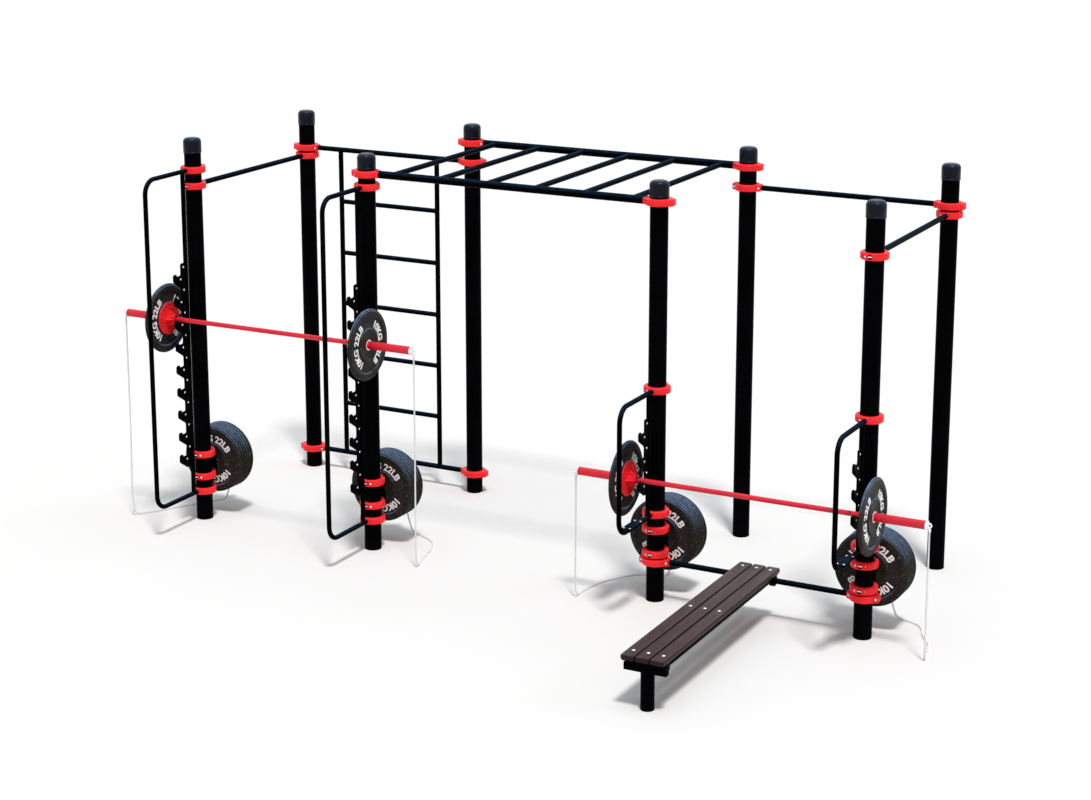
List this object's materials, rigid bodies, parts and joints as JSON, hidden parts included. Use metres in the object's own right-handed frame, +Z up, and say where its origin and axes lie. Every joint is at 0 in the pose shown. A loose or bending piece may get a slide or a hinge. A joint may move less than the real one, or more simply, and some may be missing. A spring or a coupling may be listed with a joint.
{
  "type": "outdoor fitness station",
  "caption": "Outdoor fitness station of clamped posts with monkey bars, a wall ladder, pull-up bars, barbell racks, stored plates and a plank bench.",
  "frame": {"origin": "on the floor at the centre of the footprint, the cables left out", "axes": "+X along the rows of posts, +Y from the bench side to the back row, +Z up"},
  "size_m": [5.5006, 2.998, 2.55],
  "materials": {
    "powder_black": "black powder coat, satin",
    "cap_grey": "moulded dark grey plastic",
    "clamp_red": "red powder coat, satin",
    "bar_red": "crimson coated steel",
    "plate_rubber": "black crumb rubber with pale flecks",
    "plank_brown": "dark stained plank, lengthwise grain",
    "zinc_steel": "zinc-plated steel",
    "cable_white": "white plastic-sheathed steel cable",
    "marking_white": "white moulded numerals"
  },
  "bodies": {
    "root": {"post_front_1": "powder_black", "post_cap_front_1": "cap_grey", "post_back_1": "powder_black", "post_cap_back_1": "cap_grey", "post_front_2": "powder_black", "post_cap_front_2": "cap_grey", "post_back_2": "powder_black", "post_cap_back_2": "cap_grey", "post_front_3": "powder_black", "post_cap_front_3": "cap_grey", "post_back_3": "powder_black", "post_cap_back_3": "cap_grey", "post_front_4": "powder_black", "post_cap_front_4": "cap_grey", "post_back_4": "powder_black", "post_cap_back_4": "cap_grey", "pull_up_bar_left": "powder_black", "pull_up_bar_right": "powder_black", "pull_up_bar_back": "powder_black", "bench_bar": "powder_black", "wall_ladder": "powder_black", "monkey_bars": "powder_black", "rack_loop_left_1": "powder_black", "hook_plate_left_1": "powder_black", "storage_peg_left_1": "clamp_red", "cable_left_1": "cable_white", "rack_loop_left_2": "powder_black", "hook_plate_left_2": "powder_black", "storage_peg_left_2": "clamp_red", "cable_left_2": "cable_white", "rack_loop_right_3": "powder_black", "hook_plate_right_3": "powder_black", "storage_peg_right_3": "clamp_red", "cable_right_3": "cable_white", "rack_loop_right_4": "powder_black", "hook_plate_right_4": "powder_black", "storage_peg_right_4": "clamp_red", "cable_right_4": "cable_white", "bench_frame": "powder_black", "bench_plank_1": "plank_brown", "bench_plank_2": "plank_brown", "bench_plank_3": "plank_brown"},
    "barbell_left": {"barbell_shaft_left": "bar_red", "barbell_end_eye_left_1": "zinc_steel", "barbell_end_eye_left_2": "zinc_steel"},
    "barbell_right": {"barbell_shaft_right": "bar_red", "barbell_end_eye_right_3": "zinc_steel", "barbell_end_eye_right_4": "zinc_steel"},
    "sleeve_left_1": {"barbell_sleeve_left_1": "bar_red"},
    "bar_plate_left_1": {"bar_plate_left_1": "plate_rubber"},
    "plate_stack_left_1": {"plate_stack_left_1": "plate_rubber"},
    "sleeve_left_2": {"barbell_sleeve_left_2": "bar_red"},
    "bar_plate_left_2": {"bar_plate_left_2": "plate_rubber"},
    "plate_stack_left_2": {"plate_stack_left_2": "plate_rubber"},
    "sleeve_right_3": {"barbell_sleeve_right_3": "bar_red"},
    "bar_plate_right_3": {"bar_plate_right_3": "plate_rubber"},
    "plate_stack_right_3": {"plate_stack_right_3": "plate_rubber"},
    "sleeve_right_4": {"barbell_sleeve_right_4": "bar_red"},
    "bar_plate_right_4": {"bar_plate_right_4": "plate_rubber"},
    "plate_stack_right_4": {"plate_stack_right_4": "plate_rubber"}
  },
  "joints": [
    {"name": "barbell_left_lift", "type": "slide", "parent": "root", "child": "barbell_left", "axis": [0, -0.6428, 0.766], "range_m": [0, 0.3]},
    {"name": "barbell_right_lift", "type": "slide", "parent": "root", "child": "barbell_right", "axis": [0, -0.6428, 0.766], "range_m": [0, 0.3]},
    {"name": "sleeve_left_1_spin", "type": "hinge", "parent": "barbell_left", "child": "sleeve_left_1", "pos_m": [-2.5, -0.1123, 1.3933], "axis": [1, 0, 0], "continuous": true},
    {"name": "bar_plate_left_1_slide", "type": "slide", "parent": "sleeve_left_1", "child": "bar_plate_left_1", "axis": [-1, 0, 0], "range_m": [0, 0.29]},
    {"name": "plate_stack_left_1_slide", "type": "slide", "parent": "root", "child": "plate_stack_left_1", "axis": [0, 1, 0], "range_m": [0, 0.07]},
    {"name": "sleeve_left_2_spin", "type": "hinge", "parent": "barbell_left", "child": "sleeve_left_2", "pos_m": [-0.79, -0.1123, 1.3933], "axis": [1, 0, 0], "continuous": true},
    {"name": "bar_plate_left_2_slide", "type": "slide", "parent": "sleeve_left_2", "child": "bar_plate_left_2", "axis": [1, 0, 0], "range_m": [0, 0.29]},
    {"name": "plate_stack_left_2_slide", "type": "slide", "parent": "root", "child": "plate_stack_left_2", "axis": [0, 1, 0], "range_m": [0, 0.07]},
    {"name": "sleeve_right_3_spin", "type": "hinge", "parent": "barbell_right", "child": "sleeve_right_3", "pos_m": [0.79, -0.1123, 0.7983], "axis": [1, 0, 0], "continuous": true},
    {"name": "bar_plate_right_3_slide", "type": "slide", "parent": "sleeve_right_3", "child": "bar_plate_right_3", "axis": [-1, 0, 0], "range_m": [0, 0.29]},
    {"name": "plate_stack_right_3_slide", "type": "slide", "parent": "root", "child": "plate_stack_right_3", "axis": [0, 1, 0], "range_m": [0, 0.07]},
    {"name": "sleeve_right_4_spin", "type": "hinge", "parent": "barbell_right", "child": "sleeve_right_4", "pos_m": [2.5, -0.1123, 0.7983], "axis": [1, 0, 0], "continuous": true},
    {"name": "bar_plate_right_4_slide", "type": "slide", "parent": "sleeve_right_4", "child": "bar_plate_right_4", "axis": [1, 0, 0], "range_m": [0, 0.29]},
    {"name": "plate_stack_right_4_slide", "type": "slide", "parent": "root", "child": "plate_stack_right_4", "axis": [0, 1, 0], "range_m": [0, 0.07]}
  ]
}
